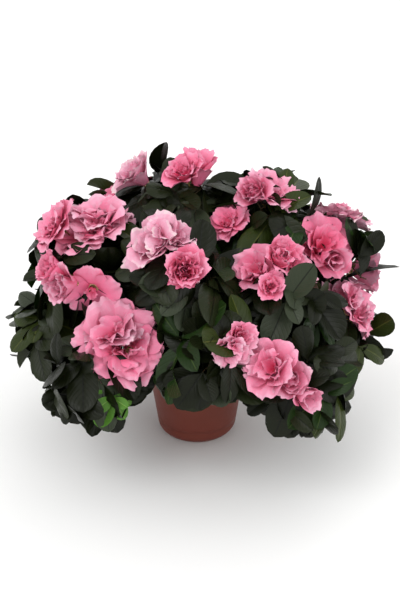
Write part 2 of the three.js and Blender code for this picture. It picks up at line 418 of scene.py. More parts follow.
peaty = {"Geometry": real.outputs[0], "Material": given["Peat"]}
strewn.feed(result, strewn.node("GeometryNodeSetMaterial", None, peaty).outputs[0])

peat_finish = Finish("loose_peat", paint(46, 32, 22), 0.95, Specular_IOR_Level=0.2)
peat_finish.vary_colour(peat_finish.noise(260, 4), paint(24, 17, 12))
peat_finish.vary_roughness(peat_finish.noise(90), 0.85, 1)
peat_finish.relief(peat_finish.noise(900, 4), 0.0008)

soil_radius = soil_high.x
ridges = []
for step in range(MOUND_STEPS):
    share = step / MOUND_STEPS
    ridges.append((soil_radius * (1 - share**1.3), soil_high.z - MOUND_RISE * (1 - share) ** 2))
soil_profile = [(0, soil_low.z), (BASE_RADIUS - FOOT_ROUND, soil_low.z), (BASE_RADIUS - WALL, inner_foot)]
soil_profile += [(soil_radius, soil_high.z - SOIL_EDGE), *ridges, (0, soil_high.z)]
root_ball = piece("root_ball_peat", turned("root_ball_peat", soil_profile))
grown(
    root_ball,
    strewn,
    Size=CRUMB_SIZE,
    Density=CRUMBS_PER_SQUARE_METRE,
    Rough=PEAT_ROUGHNESS,
    Seed=7,
    Peat=peat_finish.material,
)
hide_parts("root_ball")
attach(root_ball, "root")

# ---- The trunk and the main boughs ---------------------------------------------------------------
# Grey-brown wood. A short trunk flares into the peat and forks low into boughs, which rise and bend
# outwards, one to each part of the crown. The bark is finely cracked and knobbly.

BARK_CRACKS = 260  # how many to the metre
TRUNK_RINGS = 10
TRUNK_RADII = (8.5 * MM, 7 * MM)  # at the foot and the top
ROOT_FLARE = 5 * MM
FLARE_HEIGHT = 5 * MM
BOUGH_RINGS = 6
BOUGH_RADII = (3.6 * MM, 2.1 * MM)
LIMB_STEPS = 26


def welded(node):
    """A node's mesh with its loose triangles joined."""
    shape = bmesh.new()
    shape.from_mesh(frame["nodes"][node].data)
    bmesh.ops.remove_doubles(shape, verts=shape.verts, dist=0.00002)
    return shape


def centre_line(node, rings, foot):
    """The smooth middle line of a limb, from its foot to its far end."""
    shape = welded(node)
    places = np.array([vertex.co for vertex in shape.verts])
    shape.free()
    far = places[np.argmax(np.linalg.norm(places - foot, axis=1))]
    near = places[np.argmax(np.linalg.norm(places - far, axis=1))]
    order = np.argsort((places - near) @ (far - near))
    groups = np.array_split(places[order], rings)
    middles = np.array([group.mean(axis=0) for group in groups])
    share = np.linspace(0, 1, rings)
    finer = np.linspace(0, 1, LIMB_STEPS)
    return np.stack([np.polyval(np.polyfit(share, middles[:, axis], 3), finer) for axis in range(3)], axis=1)


def lines_mesh(name, lines):
    """A mesh of separate lines, each given as its points and the thickness at each point."""
    mesh = bpy.data.meshes.new(name)
    points = np.concatenate([line for line, thickness in lines])
    starts = np.cumsum([0] + [len(line) for line, thickness in lines])
    edges = [(i, i + 1) for a, b in zip(starts, starts[1:]) for i in range(a, b - 1)]
    mesh.from_pydata(points.tolist(), edges, [])
    thick = np.concatenate([thickness for line, thickness in lines])
    mesh.attributes.new("thickness", "FLOAT", "POINT").data.foreach_set("value", thick.astype(np.float32))
    return mesh


bark_inputs = {"Sides": "Int", "Knobs": "Float", "Relief": "Float", "Bark": "Material"}
sweep, given, result = tree_with("bark round lines", **bark_inputs)
curves = sweep.node("GeometryNodeMeshToCurve", None, {"Mesh": given["Geometry"]})
ring = sweep.node("GeometryNodeCurvePrimitiveCircle", None, {"Resolution": given["Sides"], "Radius": 1.0})
named = {"data_type": "FLOAT"}
thickness = sweep.value("GeometryNodeInputNamedAttribute", "Attribute", named, {"Name": "thickness"})
tubes = sweep.node(
    "GeometryNodeCurveToMesh",
    None,
    {"Curve": curves.outputs[0], "Profile Curve": ring.outputs[0], "Scale": thickness, "Fill Caps": True},
)
knobs = sweep.value("ShaderNodeTexNoise", "Fac", None, {"Scale": given["Knobs"], "Detail": 3.0})
height = (knobs - 0.5) * thickness * Value(sweep, given["Relief"])
outwards = sweep.node("GeometryNodeInputNormal").outputs[0]
push = sweep.node("ShaderNodeVectorMath", {"operation": "SCALE"}, {0: outwards, "Scale": height})
pushed = {"Geometry": tubes.outputs[0], "Offset": push.outputs[0]}
knobbly = sweep.node("GeometryNodeSetPosition", None, pushed)
smooth = sweep.node("GeometryNodeSetShadeSmooth", None, {"Geometry": knobbly.outputs[0]})
plain = sweep.node("GeometryNodeRealizeInstances", None, {"Geometry": smooth.outputs[0]})
barked = {"Geometry": plain.outputs[0], "Material": given["Bark"]}
sweep.feed(result, sweep.node("GeometryNodeSetMaterial", None, barked).outputs[0])


def limb_piece(name, lines, sides, knobs, relief, finish):
    """One piece of round limbs that follow lines."""
    made = piece(name, lines_mesh(name, lines))
    grown(made, sweep, Sides=sides, Knobs=knobs, Relief=relief, Bark=finish.material)
    tidy = bmesh.new()
    tidy.from_mesh(made.data)
    bmesh.ops.recalc_face_normals(tidy, faces=tidy.faces)
    tidy.to_mesh(made.data)
    tidy.free()
    return made


bark_finish = Finish("azalea_bark", paint(104, 84, 66), 0.85, Specular_IOR_Level=0.3)
cracks = bark_finish.noise(BARK_CRACKS, 5)
bark_finish.vary_colour(cracks, paint(58, 44, 34))
bark_finish.vary_roughness(bark_finish.noise(120), 0.7, 0.95)
bark_finish.relief(cracks, 0.0009)

masses = [name[len("foliage_") :] for name in frame["nodes"] if name.startswith("foliage_")]
masses.sort()
soil_middle = np.array([0, 0, soil_high.z])
trunk_line = centre_line("trunk", TRUNK_RINGS, soil_middle)
over_ground = trunk_line[:, 2] - trunk_line[0, 2]
trunk_thickness = np.linspace(*TRUNK_RADII, LIMB_STEPS) + ROOT_FLARE * np.exp(-over_ground / FLARE_HEIGHT)
bough_lines = {mass: centre_line("bough_" + mass, BOUGH_RINGS, trunk_line[-1]) for mass in masses}
bough_thickness = np.linspace(*BOUGH_RADII, LIMB_STEPS)
trunk = limb_piece("trunk_wood", [(trunk_line, trunk_thickness)], 28, 160.0, 0.35, bark_finish)
wood_lines = [(line, bough_thickness) for line in bough_lines.values()]
boughs = limb_piece("bough_wood", wood_lines, 12, 220.0, 0.4, bark_finish)
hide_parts("trunk")
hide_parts(*["bough_" + mass for mass in masses])
for limb in (trunk, boughs):
    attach(limb, "root")

# ---- Where the shoots end ------------------------------------------------------------------------
# Each bough ends in a fan of shoots that fill its part of the crown, each with a whorl of leaves at
# its tip. The flowers stand in trusses of one to three on the crown's skin: those in front are
# listed, and those at the back are dealt out among the shoots.

SHOOTS_PER_MASS = 46  # directions that are tried for each part of the crown
SHOOT_INSET = 25 * MM  # how far a tip stays under the skin
SHOOT_SPACING = 23 * MM
SHOOT_JITTER = 0.12
BURIED = 7 * MM  # skin with another part of the crown this near outside it grows no shoot
SHOOT_FREE_RADIUS = 75 * MM  # nor does skin that is so near the pot's axis
SHOOT_FREE_HEIGHT = 150 * MM  # and under this height
CROWN_MIDDLE = np.array([0, 0, 0.17])
TRUSS_DEPTH = 22 * MM  # how far a truss's foot lies under the skin
TRUSS_ROOM = 14 * MM
TRUSS_FAN = 0.8  # how far the further flowers of a truss lean away from its first
TRUSS_SPACING = 50 * MM
# blooms of these parts are dealt paler tints: partly the petals' own whitish colour, partly painted light
# that lifts flowers lying in shade
PALE_PARTS = ("top_front",)
PALE_TINT = 2
BLOOM_PROUD = 11 * MM  # how far a flower's face may stand out of the skin
PULL = 4 * MM  # how far a flower that stands out too far is drawn back at a time
MOST_PULLS = 40
FREE_KINDS = ("full", "rosette", "carnation", "full", "cup", "rosette", "full", "carnation")
FREE_FULL_SIZE = 45 * MM
FREE_SIZE = 37 * MM
BACK_FROM = 25 * MM  # the back of the crown starts here
LOWEST_TRUSS = 140 * MM
rng = np.random.default_rng(11)

TRUSSES = {
    # for each part of the crown: each truss's bearing from the front and tilt upwards, in degrees,
    # and its flowers, each a kind and the length of a petal in millimetres
    "top": ((60, 60, (("cup", 42), ("rosette", 32))),),
    "top_right": ((-10, 75, (("full", 38), ("carnation", 34))), (-60, 15, (("full", 28),))),
    "front_right": (
        (-40, 75, (("carnation", 40), ("bell", 38), ("full", 36))),
        (-25, 40, (("rosette", 22),)),
    ),
    "right": ((-20, 45, (("bell", 46), ("cup", 40))),),
    "low_right": ((25, 65, (("full", 38), ("rosette", 28), ("bell", 30))),),
    "low_front_right": ((-25, 35, (("rosebud", 36), ("cup", 34), ("bell", 38))),),
    "front": ((60, 35, (("rosette", 24), ("bell", 26))),),
    "top_front": ((10, 30, (("carnation", 38), ("bud", 16))), (-60, 60, (("bell", 42), ("full", 30)))),
    "top_left": (
        (-15, 75, (("full", 46), ("full", 40))),
        (-65, 50, (("full", 36),)),
        (45, 65, (("bell", 40),)),
        (-15, -5, (("carnation", 36), ("carnation", 34), ("single", 34))),
    ),
    "low_front_left": ((75, 55, (("full", 55), ("full", 38), ("strap", 34))),),
}


def unit(vector):
    return vector / np.maximum(np.linalg.norm(vector, axis=-1, keepdims=True), 1e-9)


def facing_of(bearing, tilt):
    """The direction of a bearing from the front, right being 90, and a tilt upwards."""
    b, t = radians(bearing), radians(tilt)
    return np.array([sin(b) * cos(t), -cos(b) * cos(t), sin(t)])


skins = {}
for mass in masses:
    shape = welded("foliage_" + mass)
    skins[mass] = BVHTree.FromBMesh(shape)
    shape.free()
hearts = {mass: np.array(sum(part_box("foliage_" + mass), Vector())) / 2 for mass in masses}


def inside(mass, point):
    """Whether a point is inside a part of the crown."""
    place, normal, _, _ = skins[mass].find_nearest(Vector(point))
    return (Vector(point) - place).dot(normal) < 0


def nearest_mass(point):
    """The part of the crown whose skin is nearest to a point, or that holds it."""
    gaps = {mass: skins[mass].find_nearest(Vector(point))[3] for mass in masses}
    holders = [mass for mass in masses if inside(mass, point)]
    return max(holders, key=gaps.get) if holders else min(gaps, key=gaps.get)


def scattered(count):
    """Directions spread evenly all round."""
    step = np.arange(count) + 0.5
    z = 1 - 2 * step / count
    turn = step * pi * (1 + sqrt(5))
    level = np.sqrt(1 - z * z)
    return np.stack([level * np.cos(turn), level * np.sin(turn), z], axis=1)


def in_crown(point, proud):
    """Whether a point is inside the crown, or stands no further out of its skin than it may."""
    gaps = {mass: skins[mass].find_nearest(Vector(point))[3] for mass in masses}
    depths = [gaps[mass] for mass in masses if inside(mass, point)]
    return max(depths, default=-min(gaps.values())) > -proud


shoots = []  # each a part of the crown, the place of its tip and the way that it points
for mass in masses:
    for way in scattered(SHOOTS_PER_MASS):
        way = unit(way + rng.normal(0, SHOOT_JITTER, 3))
        hit, _, _, reach = skins[mass].ray_cast(Vector(hearts[mass]), Vector(way))
        if hit is None:
            continue
        skin = np.array(hit)
        buried = any(inside(other, skin + way * BURIED) for other in masses if other != mass)
        beside_pot = hypot(skin[0], skin[1]) < SHOOT_FREE_RADIUS and skin[2] < SHOOT_FREE_HEIGHT
        tip = skin - way * min(SHOOT_INSET, 0.6 * reach)
        crowded = any(np.linalg.norm(tip - other[1]) < SHOOT_SPACING for other in shoots)
        if buried or beside_pot or crowded:
            continue
        points = unit(0.75 * way + 0.45 * unit(tip - CROWN_MIDDLE) + np.array([0, 0, 0.25]))
        shoots.append((mass, tip, points))

blooms = []  # each a kind, the place of its foot, the way it faces, a petal's length and a tint


def add_bloom(kind, foot, facing, size, tint, inwards):
    """Adds a flower, drawn back along a direction until its face is no further out than it may be."""
    for _ in range(MOST_PULLS):
        if in_crown(foot + facing * size, BLOOM_PROUD):
            break
        foot = foot + PULL * inwards
    blooms.append((kind, foot, facing, size, tint))


for mass, trusses in TRUSSES.items():
    for bearing, tilt, flowers in trusses:
        way = facing_of(bearing, tilt)
        skin = np.array(skins[mass].ray_cast(Vector(hearts[mass]), Vector(way))[0])
        points = unit(way + unit(skin - CROWN_MIDDLE))
        side = unit(np.cross(points, np.array([0.2, 0.1, 1])))
        other = np.cross(side, points)
        first = rng.uniform(0, tau)
        for number, (kind, size) in enumerate(flowers):
            turn = first + tau * number / max(1, len(flowers) - 1)
            fan = TRUSS_FAN * (number > 0) * (cos(turn) * side + sin(turn) * other)
            facing = unit(points + fan + rng.normal(0, 0.08, 3))
            # a paler tint here is partly the petals' own colour and partly painted light on shaded blooms
            pale = mass in PALE_PARTS and kind != "carnation"
            tint = PALE_TINT if pale else int(rng.integers(-1, 2))
            foot = skin - TRUSS_DEPTH * points + TRUSS_ROOM * fan
            add_bloom(kind, foot, facing, size * MM, tint, -points)
listed_count = len(blooms)

for mass, tip, points in shoots:
    from_blooms = min(np.linalg.norm(tip + 10 * MM * points - bloom[1]) for bloom in blooms)
    if tip[1] > BACK_FROM and from_blooms > TRUSS_SPACING and tip[2] > LOWEST_TRUSS:
        for number in range(rng.integers(1, 4)):
            kind = FREE_KINDS[rng.integers(len(FREE_KINDS))]
            facing = unit(points + rng.normal(0, 0.22 + 0.35 * (number > 0), 3))
            size = FREE_FULL_SIZE if kind == "full" else FREE_SIZE
            size = size * (1 - 0.18 * number) * rng.uniform(0.85, 1.12)
            add_bloom(kind, tip + 6 * MM * facing, facing, size, int(rng.integers(-1, 3)), -points)

# ---- The twigs -----------------------------------------------------------------------------------
# Thin grey-brown shoots that fork again and again from the end of each bough, thinner at each fork
# by the rule of equal section, until each carries one whorl of leaves or one flower.

TWIG_TIP_RADIUS = 0.75 * MM
TWIG_STEPS = 7
STALK_RADIUS = 0.9 * MM
STALK_LENGTH = 13 * MM


def bent(start, heading, end, arrival):
    """A smooth line that leaves in one direction and arrives in another."""
    span = np.linalg.norm(end - start)
    first = start + heading * span * 0.38
    last = end - arrival * span * 0.38
    t = np.linspace(0, 1, TWIG_STEPS)[:, None]
    return (1 - t) ** 3 * start + 3 * (1 - t) ** 2 * t * first + 3 * (1 - t) * t**2 * last + t**3 * end


def forked(start, heading, ends, lines):
    """Adds the lines of a shoot that forks until it reaches every end, each a place and a direction."""
    places = np.array([place for place, way in ends])
    thick = TWIG_TIP_RADIUS * len(ends) ** 0.42
    if len(ends) == 1:
        line = bent(start, heading, places[0], ends[0][1])
        lines.append((line, np.linspace(thick * 1.15, thick * 0.85, TWIG_STEPS)))
        return
    middle = places.mean(axis=0)
    fork = start + (middle - start) * (0.3 + 0.2 / len(ends))
    way = unit(0.6 * unit(middle - start) + 0.4 * heading)
    lines.append((bent(start, heading, fork, way), np.linspace(thick * 1.1, thick, TWIG_STEPS)))
    offsets = places - middle
    widest = np.linalg.svd(offsets, full_matrices=False)[2][0]
    order = np.argsort(offsets @ widest)
    half = len(ends) // 2
    for part in (order[:half], order[half:]):
        forked(fork, way, [ends[index] for index in part], lines)


ends = {mass: [] for mass in masses}
for mass, tip, points in shoots:
    ends[mass].append((tip, points))
stalks = []
for kind, place, facing, size, tint in blooms:
    mass = nearest_mass(place)
    inwards = unit(hearts[mass] - place)
    start = place + 0.6 * STALK_LENGTH * inwards - 0.5 * STALK_LENGTH * facing
    t = np.linspace(0, 1, TWIG_STEPS)[:, None]
    stalks.append((bent(start, -inwards, place, facing), np.full(TWIG_STEPS, STALK_RADIUS)))
    if kind != "strap":
        ends[mass].append((start, -inwards))

twig_lines = []
for mass in masses:
    line = bough_lines[mass]
    forked(line[-1], unit(line[-1] - line[-3]), ends[mass], twig_lines)

twig_finish = Finish("twig_bark", paint(96, 78, 56), 0.8, Specular_IOR_Level=0.3)
twig_finish.vary_colour(twig_finish.noise(420, 3), paint(62, 56, 36))
twig_finish.vary_roughness(twig_finish.noise(200), 0.65, 0.9)
twig_finish.relief(twig_finish.noise(900, 3), 0.0003)
twigs = limb_piece("twigs", twig_lines, 6, 300.0, 0.35, twig_finish)

stalk_finish = Finish("green_stalk", paint(112, 116, 58), 0.55)
stalk_finish.vary_colour(stalk_finish.noise(300), paint(136, 92, 58))
stalk_finish.vary_roughness(stalk_finish.noise(500), 0.45, 0.7)
flower_stalks = limb_piece("flower_stalks", stalks, 6, 300.0, 0.1, stalk_finish)
for limb in (twigs, flower_stalks):
    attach(limb, "root")

# ---- The leaves ----------------------------------------------------------------------------------
# Leathery evergreen blades, 30 to 65 mm long, blunt with a tiny point, satin on top, with a sunken
# midrib and side veins. They stand in whorls at the tips of the shoots, with older ones behind.

LEAF_SHARES = (0, 0.06, 0.14, 0.26, 0.41, 0.57, 0.72, 0.85, 0.95, 1)
LEAF_WIDTHS = (0.07, 0.1, 0.36, 0.7, 0.92, 1, 0.95, 0.77, 0.46, 0.05)
LEAF_ACROSS = (-1, -0.55, -0.05, 0.05, 0.55, 1)
VEIN_SWELL = 0.012
LEAF_FORMS = (
    # fold along the midrib, arch along the length, twist, droop of the margins
    (0.1, 0.12, 0.1, 0.05),
    (0.22, 0.3, -0.15, 0.02),
    (0.05, 0.2, 0.2, 0.12),
    (0.3, 0.05, -0.1, 0.0),
    (0.14, 0.45, 0.0, 0.08),
)
WHORL_LEAVES = 7
OLDER_LEAVES = 6
GOLDEN_TURN = radians(137.5)


def leaf_form(name, fold, arch, twist, droop):
    """A blade one unit long and up to one wide that lies along +Y and faces +Z, folded at its rib."""
    shape = bmesh.new()
    uv = shape.loops.layers.uv.new("along")
    rib = shape.faces.layers.float.new("rib")
    rows = []
    for row, (share, width) in enumerate(zip(LEAF_SHARES, LEAF_WIDTHS)):
        line = []
        for across in LEAF_ACROSS:
            x = across * width / 2
            z = fold * abs(x) + 0.03 - arch * share**2 - droop * (abs(across) > 0.9) * width
            z += VEIN_SWELL * (-1) ** row * (0.2 < abs(across) < 0.9) * width
            z -= 0.012 * (abs(across) < 0.1)
            turn = twist * share
            place = (x * cos(turn) - z * sin(turn), share, x * sin(turn) + z * cos(turn))
            line.append(shape.verts.new(place))
        rows.append(line)
    for row, (low, high) in enumerate(zip(rows, rows[1:])):
        for column in range(len(LEAF_ACROSS) - 1):
            face = shape.faces.new((low[column], low[column + 1], high[column + 1], high[column]))
            face.smooth = True
            face[rib] = float(LEAF_ACROSS[column] == -0.05)
            for loop in face.loops:
                column_there = (low + high).index(loop.vert) % len(LEAF_ACROSS)
                loop[uv].uv = (0.5 + LEAF_ACROSS[column_there] / 2, loop.vert.co.y)
    mesh = bpy.data.meshes.new(name)
    shape.to_mesh(mesh)
    shape.free()
    return bpy.data.objects.new(name, mesh)


def collection_of(name, things):
    """A collection of the forms that the dealing tree picks from."""
    made = bpy.data.collections.new(name)
    bpy.context.scene.collection.children.link(made)
    for thing in things:
        made.objects.link(thing)
    return made


def discard(collection):
    for thing in list(collection.objects):
        bpy.data.objects.remove(thing)
    bpy.data.collections.remove(collection)


def points_mesh(name, places, turns, sizes, picks):
    """A mesh of loose points, each with the turn, the size and the form of what is dealt to it."""
    mesh = bpy.data.meshes.new(name)
    mesh.from_pydata([tuple(place) for place in places], [], [])
    for label, values in {"turn": turns, "size": sizes}.items():
        data = mesh.attributes.new(label, "FLOAT_VECTOR", "POINT").data
        data.foreach_set("vector", np.array(values).ravel())
    mesh.attributes.new("form", "INT", "POINT").data.foreach_set("value", np.array(picks))
    return mesh


forms = collection_of("leaf_forms", [leaf_form(f"leaf_form_{n}", *form) for n, form in enumerate(LEAF_FORMS)])

dealt, given, result = tree_with("dealt leaves", Forms="Collection", Blade="Material", Rib="Material")
picked_from = {"Collection": given["Forms"], "Separate Children": True}
shapes = dealt.node("GeometryNodeCollectionInfo", None, picked_from)
ATTRIBUTE_KINDS = {"turn": "FLOAT_VECTOR", "size": "FLOAT_VECTOR", "form": "INT", "rib": "FLOAT"}
attributes = {
    name: dealt.value("GeometryNodeInputNamedAttribute", "Attribute", {"data_type": kind}, {"Name": name})
    for name, kind in ATTRIBUTE_KINDS.items()
}
leaves_there = dealt.node(
    "GeometryNodeInstanceOnPoints",
    None,
    {
        "Points": given["Geometry"],
        "Instance": shapes.outputs[0],
        "Pick Instance": True,
        "Instance Index": attributes["form"],
        "Rotation": attributes["turn"],
        "Scale": attributes["size"],
    },
)
leaf_meshes = dealt.node("GeometryNodeRealizeInstances", None, {"Geometry": leaves_there.outputs[0]})
bladed_with = {"Geometry": leaf_meshes.outputs[0], "Material": given["Blade"]}
bladed = dealt.node("GeometryNodeSetMaterial", None, bladed_with)
on_rib = dealt.value("FunctionNodeCompare", 0, {"operation": "GREATER_THAN"}, {0: attributes["rib"], 1: 0.5})
ribbed_with = {"Geometry": bladed.outputs[0], "Selection": on_rib, "Material": given["Rib"]}
dealt.feed(result, dealt.node("GeometryNodeSetMaterial", None, ribbed_with).outputs[0])

leaf_rows = []  # foot, direction, face, length, width, form, tint


def clear_of_blooms(foot, way, length):
    """Whether a leaf neither runs through a bloom nor hangs in front of one."""
    for share in (0.45, 0.75, 1):
        offset = foot + way * length * share - bloom_feet
        along = (offset * bloom_ways).sum(axis=1)
        across = np.linalg.norm(offset - along[:, None] * bloom_ways, axis=1)
        spread = np.clip(along / bloom_sizes, 0.15, 0.75) * bloom_sizes * 1.05
        if np.any((along > 0) & (along < 2.2 * bloom_sizes) & (across < spread)):
            return False
    return True


bloom_feet = np.array([bloom[1] for bloom in blooms])
bloom_ways = np.array([bloom[2] for bloom in blooms])
bloom_sizes = np.array([bloom[3] for bloom in blooms])

# some leaves are dealt the grey tint, whose paler blade is partly painted sheen
LEAF_TINTS = ("dark", "mid", "dark", "grey", "green", "dark", "mid", "olive")
YOUNG_PARTS = ("low_front_left", "right")  # parts of the crown whose foremost shoot is this year's
YOUNG_LEAF_SHARE = 0.62  # how long its leaves are against the others
LEAF_PROUD = 4 * MM  # how far a leaf's tip may stand out of the crown's skin
GAP_LEAF_PROUD = 14 * MM  # and away from the two sides, where leaves close the gaps between boughs
GAP_REACH = 170 * MM
LOW_LEAF_PROUD = -2 * MM  # and under the height where the leaves hang
LOW_LEAF_HEIGHT = 100 * MM
LEAF_FREE_RADIUS = 62 * MM  # no leaf ends so near the pot's axis
LEAF_FREE_HEIGHT = 110 * MM  # under this height

young_tips = []
for part in YOUNG_PARTS:
    young_tips.append(min((tip for mass, tip, points in shoots if mass == part), key=lambda tip: tip[1]))

for mass, tip, points in shoots:
    tint = LEAF_TINTS[rng.integers(len(LEAF_TINTS))]
    if any(tip is young for young in young_tips):
        tint = "fresh"
    side = unit(np.cross(points, np.array([0.3, 0.2, 1])))
    other = np.cross(points, side)
    first = rng.uniform(0, tau)
    hang = np.clip((0.2 - tip[2]) * 5, 0, 0.75)
    for number in range(WHORL_LEAVES + OLDER_LEAVES):
        older = number >= WHORL_LEAVES
        turn = first + number * GOLDEN_TURN + rng.normal(0, 0.15)
        rise = radians(rng.normal(20 - 35 * older + (28 - 7 * number) * (not older), 9))
        foot = tip - points * (1.3 * MM * number + 5.5 * MM * max(0, number - WHORL_LEAVES))
        level = side * cos(turn) + other * sin(turn)
        way = unit(points * sin(rise) + level * cos(rise) - np.array([0, 0, hang + 0.12]))
        length = rng.uniform(42, 66) * MM * (0.7 + 0.1 * min(number, 3))
        if tint == "fresh":
            length *= YOUNG_LEAF_SHARE
        width = length * rng.uniform(0.46, 0.64)
        end = foot + way * length
        if hypot(end[0], end[1]) < LEAF_FREE_RADIUS and end[2] < LEAF_FREE_HEIGHT:
            continue
        proud = GAP_LEAF_PROUD if abs(end[0]) < GAP_REACH else LEAF_PROUD
        if not in_crown(end, LOW_LEAF_PROUD if end[2] < LOW_LEAF_HEIGHT else proud):
            continue
        if not clear_of_blooms(foot, way, length):
            continue
        face = points + 0.35 * np.array([0, 0, 1]) + rng.normal(0, 0.16, 3)
        face = unit(face - (face @ way) * way)
        shade = "dark" if older and tint != "green" else tint
        leaf_rows.append((foot, way, face, length, width, int(rng.integers(len(LEAF_FORMS))), shade))

LEAF_COLOURS = {
    # blade, rib
    "dark": ((18, 22, 8), (10, 13, 5)),
    "mid": ((30, 36, 17), (16, 20, 9)),
    # grey: a paler grey-green blade, partly the leaves' own tone and partly painted sheen
    "grey": ((50, 57, 42), (28, 33, 22)),
    "green": ((28, 47, 15), (56, 74, 32)),
    "olive": ((44, 54, 20), (72, 78, 34)),
    "fresh": ((78, 122, 44), (116, 152, 72)),
}
SIDE_VEINS = 8
VEIN_SLANT = 6


def leaf_finish(name, colour):
    """A leathery green skin, satin, with fine pores and side veins that slant forwards from its rib."""
    made = Finish(name, paint(*colour), 0.42, Specular_IOR_Level=0.16)
    on_blade = made.node("ShaderNodeUVMap", {"uv_map": "along"}).outputs[0]
    along = made.node("ShaderNodeSeparateXYZ", None, {0: on_blade})
    from_rib = abs(Value(made, along.outputs["X"]) - 0.5)
    stripe = (Value(made, along.outputs["Y"]) * SIDE_VEINS - from_rib * VEIN_SLANT).fraction()
    between = stripe.maths("MINIMUM", abs(stripe - 0.5) * 5, 1)
    pores = made.noise(520, 3)
    made.vary_roughness(made.noise(90, 3), 0.26, 0.42)
    made.relief(0.22 * between + 0.2 * pores + 1.6 * made.noise(60, 1), 0.0006)
    return made.material


leaf_pieces = []
for tint, (blade, rib) in LEAF_COLOURS.items():
    rows = [row for row in leaf_rows if row[6] == tint]
    turns = [Matrix((np.cross(way, face), way, face)).transposed().to_euler() for _, way, face, *_ in rows]
    sizes = [(width, length, length) for *_, length, width, _, _ in rows]
    mesh = points_mesh("leaves_" + tint, [row[0] for row in rows], turns, sizes, [row[5] for row in rows])
    made = piece("leaves_" + tint, mesh)
    blade_skin = leaf_finish("leaf_" + tint, blade)
    rib_skin = leaf_finish("leaf_rib_" + tint, rib)
    leaf_pieces.append(grown(made, dealt, Forms=forms, Blade=blade_skin, Rib=rib_skin))
    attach(made, "root")
discard(forms)
for mass, made in zip(masses, leaf_pieces * 3):
    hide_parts("foliage_" + mass)

# ---- The blooms ----------------------------------------------------------------------------------
# Double pink flowers of thin soft petals in rings round a short tube: broad ones outside with a frilled
# rim, smaller and more ruffled ones within. Each is deep rose in its throat and pale at its rim.

PETAL_ROWS = 10
PETAL_COLUMNS = 18
TUBE_RADIUS = 1.6 * MM
BLOOM_KINDS = {
    # for each ring: petals, length, width, lean at the foot and the rim, curl, wrap, ruffle, tint
    "full": (
        (6, 1.0, 1.02, 38, 84, 14, 2.0, 0.09, 0.5),
        (6, 0.9, 0.94, 30, 68, 10, 1.7, 0.11, 0.2),
        (5, 0.7, 0.8, 22, 50, 6, 1.5, 0.14, -0.2),
        (5, 0.56, 0.62, 14, 34, 0, 1.4, 0.19, -0.5),
        (4, 0.46, 0.5, 8, 20, 0, 1.4, 0.24, -0.4),
    ),
    "rosette": (
        (5, 1.0, 1.0, 18, 54, 22, 1.2, 0.07, 0.6),
        (6, 0.9, 0.82, 12, 36, 14, 1.1, 0.1, 0),
        (6, 0.8, 0.66, 8, 24, 5, 1.1, 0.14, -0.8),
        (6, 0.7, 0.52, 5, 14, 0, 1.2, 0.17, -1.2),
        (4, 0.6, 0.42, 2, 8, 0, 1.4, 0.2, -0.8),
    ),
    "carnation": (
        (5, 1.0, 0.95, 30, 12, 44, 0.95, 0.05, 0.4),
        (5, 0.98, 0.8, 22, 10, 30, 1.0, 0.11, 0),
        (6, 0.95, 0.6, 16, 10, 16, 1.1, 0.16, -0.8),
        (6, 0.9, 0.5, 10, 8, 6, 1.2, 0.2, -1.2),
        (4, 0.84, 0.42, 5, 5, 0, 1.3, 0.2, -0.6),
    ),
    "bell": (
        (5, 1.0, 1.1, 28, 64, 24, 1.5, 0.1, 0.6),
        (5, 0.86, 0.84, 18, 42, 12, 1.3, 0.13, 0),
        (4, 0.68, 0.6, 10, 26, 0, 1.2, 0.17, -0.5),
    ),
    "cup": (
        (5, 1.0, 0.9, 26, 2, 40, 0.95, 0.04, 0.2),
        (4, 0.84, 0.74, 18, 2, 10, 1.0, 0.06, -0.5),
        (3, 0.7, 0.5, 8, 3, 0, 1.0, 0.1, -1),
    ),
    "rosebud": (
        (4, 1.0, 1.05, 32, 36, 8, 0.95, 0.05, 0.5),
        (3, 0.86, 0.9, 26, 16, 0, 0.9, 0.03, -0.6),
        (5, 0.8, 0.7, 28, -30, 0, 0.8, 0.01, 0.6),
    ),
    "bud": ((5, 1.0, 0.6, 22, -22, 0, 0.9, 0.01, 0), (3, 0.92, 0.5, 14, -14, 0, 0.9, 0.01, -1)),
    "single": ((5, 1.0, 1.05, 58, 84, 8, 3.0, 0.07, 1), (4, 0.4, 0.34, 14, 28, 0, 1.2, 0.15, 0)),
    "strap": ((1, 1.0, 0.4, 4, 10, 30, 1.4, 0.12, 1),),
}
FOOT_COLOUR = (240, 204, 160)
TINT_MARKS = (1, 8, 12, 15)  # the deep throat, the middle, near the rim, and the pale rim
TINT_COLOURS = ((244, 98, 142), (232, 144, 173), (228, 175, 195), (233, 215, 213))
PETAL_TINTS = [FOOT_COLOUR]
for step in range(1, TINT_MARKS[-1] + 1):
    PETAL_TINTS.append([np.interp(step, TINT_MARKS, channel) for channel in zip(*TINT_COLOURS)])
FOOT_TINT = 0
MIDDLE_TINT = 5.8
TINTS_TO_RIM = 6.5  # how many tints paler the rim is than the throat
PALE_RIM = 1.2  # tints by which the outermost strip of a petal is paler still
TINT_STEP = 1.6  # tints to a step of the kinds' and the blooms' own tint

share_of = np.linspace(0, 1, PETAL_ROWS + 1)[:, None]
across = np.linspace(-1, 1, PETAL_COLUMNS + 1)[None, :]
ladder = np.linspace(0, 1.2, 61)
corner = np.arange((PETAL_ROWS + 1) * (PETAL_COLUMNS + 1)).reshape(PETAL_ROWS + 1, -1)
petal_faces = np.stack([corner[:-1, :-1], corner[:-1, 1:], corner[1:, 1:], corner[1:, :-1]], axis=-1)
petal_faces = petal_faces.reshape(-1, 4)


